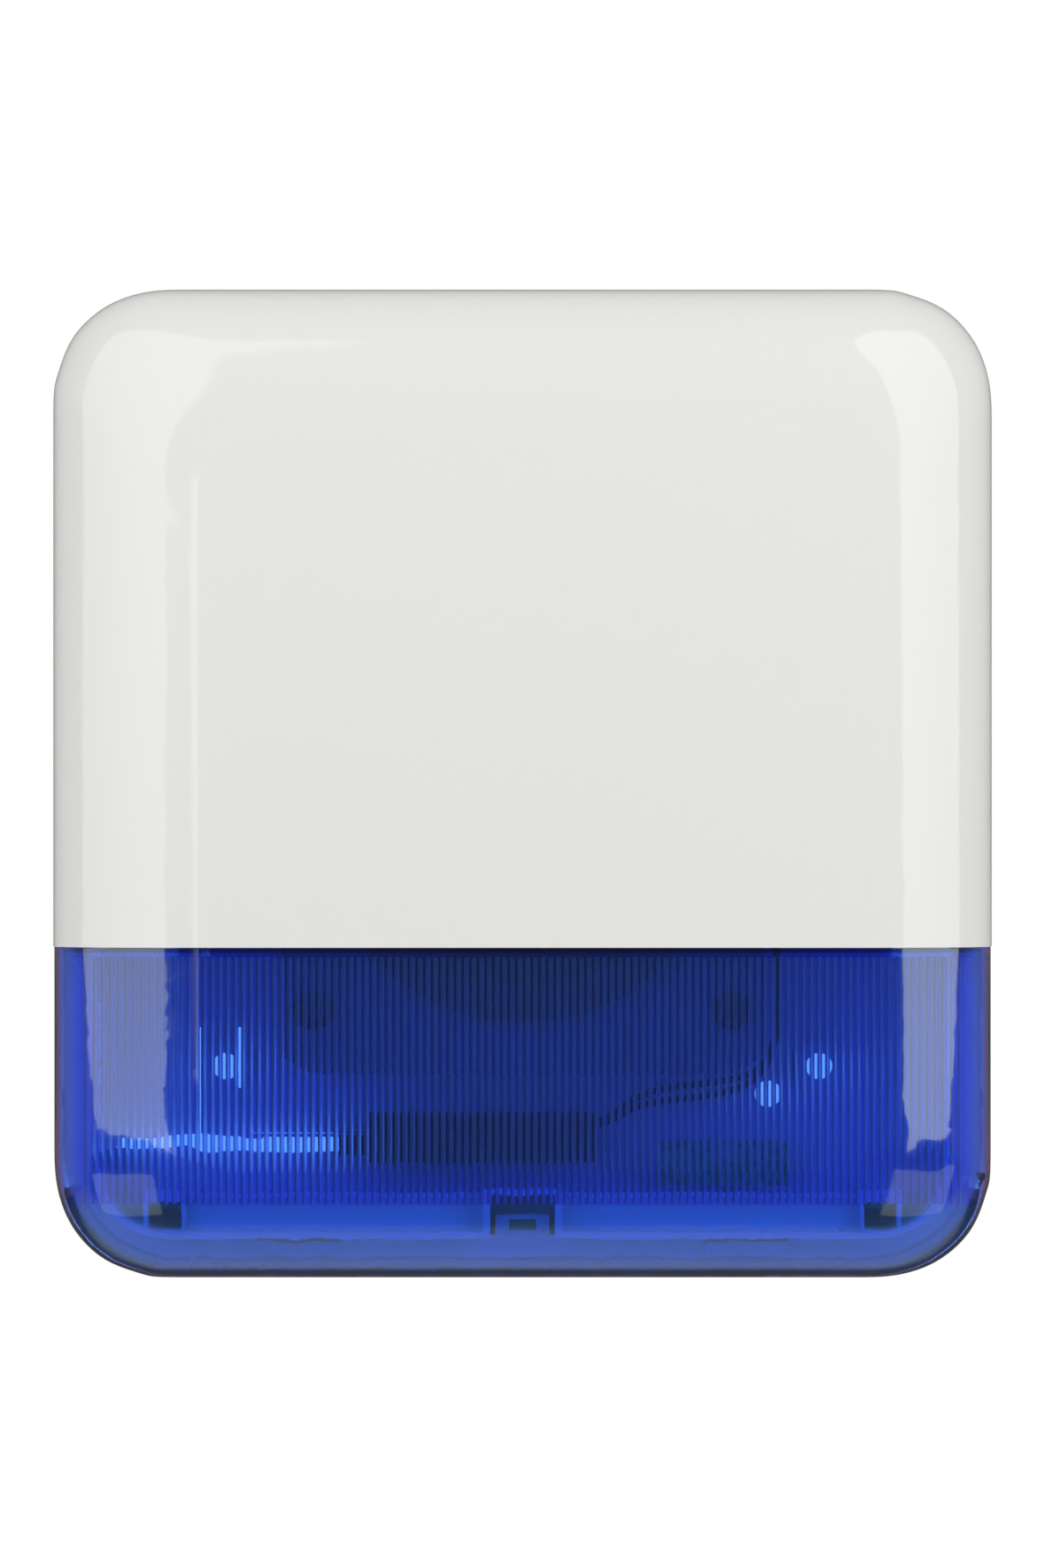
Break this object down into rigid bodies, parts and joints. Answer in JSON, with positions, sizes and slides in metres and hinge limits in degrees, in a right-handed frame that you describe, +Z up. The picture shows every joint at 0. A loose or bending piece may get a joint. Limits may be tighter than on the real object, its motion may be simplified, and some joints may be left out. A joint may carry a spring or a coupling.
{
  "type": "alarm siren",
  "caption": "Wall-mounted wireless alarm siren: soft-cornered white cover with a clear blue fluted strobe lens, hung on a wall base that tilts open for service.",
  "frame": {"origin": "centre of the wall face, at the middle of the siren's width and height", "axes": "+Y into the wall, +Z up, +X to the right as one faces the siren; it stands out of the wall towards -Y"},
  "size_m": [0.193, 0.048, 0.203],
  "materials": {
    "white_cover": "glossy white ABS",
    "blue_lens": "clear blue polycarbonate, fluted inside",
    "white_base": "fine satin white ABS",
    "screw_steel": "zinc-plated steel",
    "nut_brass": "plain brass",
    "black_rubber": "soft black rubber",
    "black_housing": "satin black ABS",
    "black_horn": "satin black ABS",
    "driver_steel": "pressed steel can",
    "diaphragm_brass": "thin brass disc",
    "cell_wrap": "shrink sleeve over steel",
    "contact_steel": "nickel-plated spring steel",
    "dark_sleeve": "black shrink sleeve",
    "dark_cradle": "satin dark grey ABS",
    "lead_sheath": "black PVC",
    "white_plug": "natural nylon",
    "board_green": "solder mask over glass epoxy",
    "chip_black": "moulded epoxy",
    "terminal_green": "satin green nylon",
    "lamp_clear": "clear epoxy dome",
    "aerial_steel": "tinned wire",
    "switch_black": "satin black nylon",
    "plunger_white": "white acetal",
    "switch_steel": "tinned steel shell"
  },
  "bodies": {
    "base": {"rear_base": "white_base", "hinge_pins": "screw_steel", "lock_nut": "nut_brass", "cable_grommet": "black_rubber", "sounder_housing": "black_housing", "sounder_horn": "black_horn", "sounder_driver": "driver_steel", "sounder_diaphragm": "diaphragm_brass", "sounder_screws": "screw_steel", "battery_cells": "cell_wrap", "battery_contacts": "contact_steel", "backup_cell": "dark_sleeve", "backup_cradle": "dark_cradle", "backup_lead_left": "lead_sheath", "backup_lead_right": "lead_sheath", "lead_plug": "white_plug", "main_board": "board_green", "board_screws": "screw_steel", "board_parts": "chip_black", "terminal_block": "terminal_green", "strobe_board": "board_green", "strobe_lamps": "lamp_clear", "antenna": "aerial_steel", "cover_tamper_switch": "switch_black", "wall_tamper_switch": "switch_black", "power_switch_body": "switch_steel", "enrol_button_body": "switch_black"},
    "cover": {"front_cover": "white_cover", "lens": "blue_lens", "lens_screws": "screw_steel"},
    "lock": {"lock_screw": "screw_steel"},
    "cover_tamper": {"cover_tamper_plunger": "plunger_white"},
    "wall_tamper": {"wall_tamper_plunger": "plunger_white"},
    "power_knob": {"power_switch_knob": "switch_black"},
    "enrol_cap": {"enrol_button_cap": "plunger_white"}
  },
  "joints": [
    {"name": "cover_tilt", "type": "hinge", "parent": "base", "child": "cover", "pos_m": [0, -0.007, 0.095], "axis": [-1, 0, 0], "range_deg": [0, 30]},
    {"name": "lock_travel", "type": "slide", "parent": "base", "child": "lock", "axis": [0, 0, -1], "range_m": [0, 0.0022]},
    {"name": "cover_tamper_travel", "type": "slide", "parent": "base", "child": "cover_tamper", "axis": [0, -1, 0], "range_m": [0, 0.0021]},
    {"name": "wall_tamper_travel", "type": "slide", "parent": "base", "child": "wall_tamper", "axis": [0, 1, 0], "range_m": [0, 0.0025], "stiffness_N_per_m": 100},
    {"name": "power_switch_slide", "type": "slide", "parent": "base", "child": "power_knob", "axis": [1, 0, 0], "range_m": [0, 0.0025]},
    {"name": "enrol_button_press", "type": "slide", "parent": "base", "child": "enrol_cap", "axis": [0, 1, 0], "range_m": [0, 0.0003], "stiffness_N_per_m": 200}
  ],
  "couplings": [
    {"joint": "cover_tamper_travel", "follows": "cover_tilt", "m_per_rad": 0.0038197}
  ]
}
